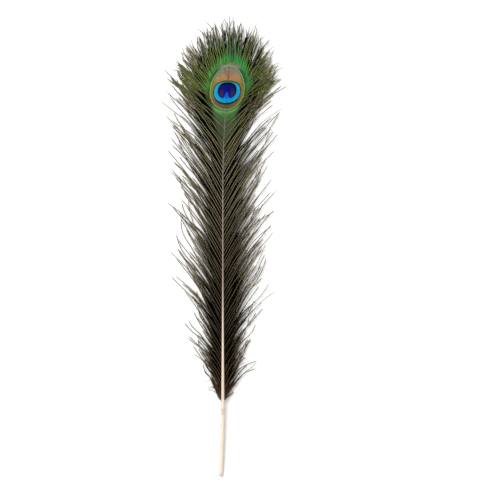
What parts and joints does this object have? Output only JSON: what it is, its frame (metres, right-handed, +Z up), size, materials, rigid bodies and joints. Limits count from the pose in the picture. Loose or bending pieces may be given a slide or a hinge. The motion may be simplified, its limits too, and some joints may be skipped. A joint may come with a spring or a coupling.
{
  "type": "peacock feather",
  "caption": "Peacock train feather lying face up: tapering quill, loose locks of barbs down both sides and an egg-shaped eye near the tip.",
  "frame": {"origin": "on the surface the feather lies on, under the middle of the feather's box", "axes": "+Y along the shaft from the cut end of the quill to the tip, +Z up from the surface through the coloured face, +X to the feather's right as it is seen from above with its tip up"},
  "size_m": [0.0789, 0.305, 0.0054],
  "materials": {
    "barbs": "olive brown feather keratin with a soft green and bronze sheen",
    "eye": "tightly packed iridescent barbules: blue, cyan, bronze and green",
    "quill": "smooth satin ivory keratin"
  },
  "bodies": {
    "root": {"feather": "barbs"}
  },
  "joints": []
}
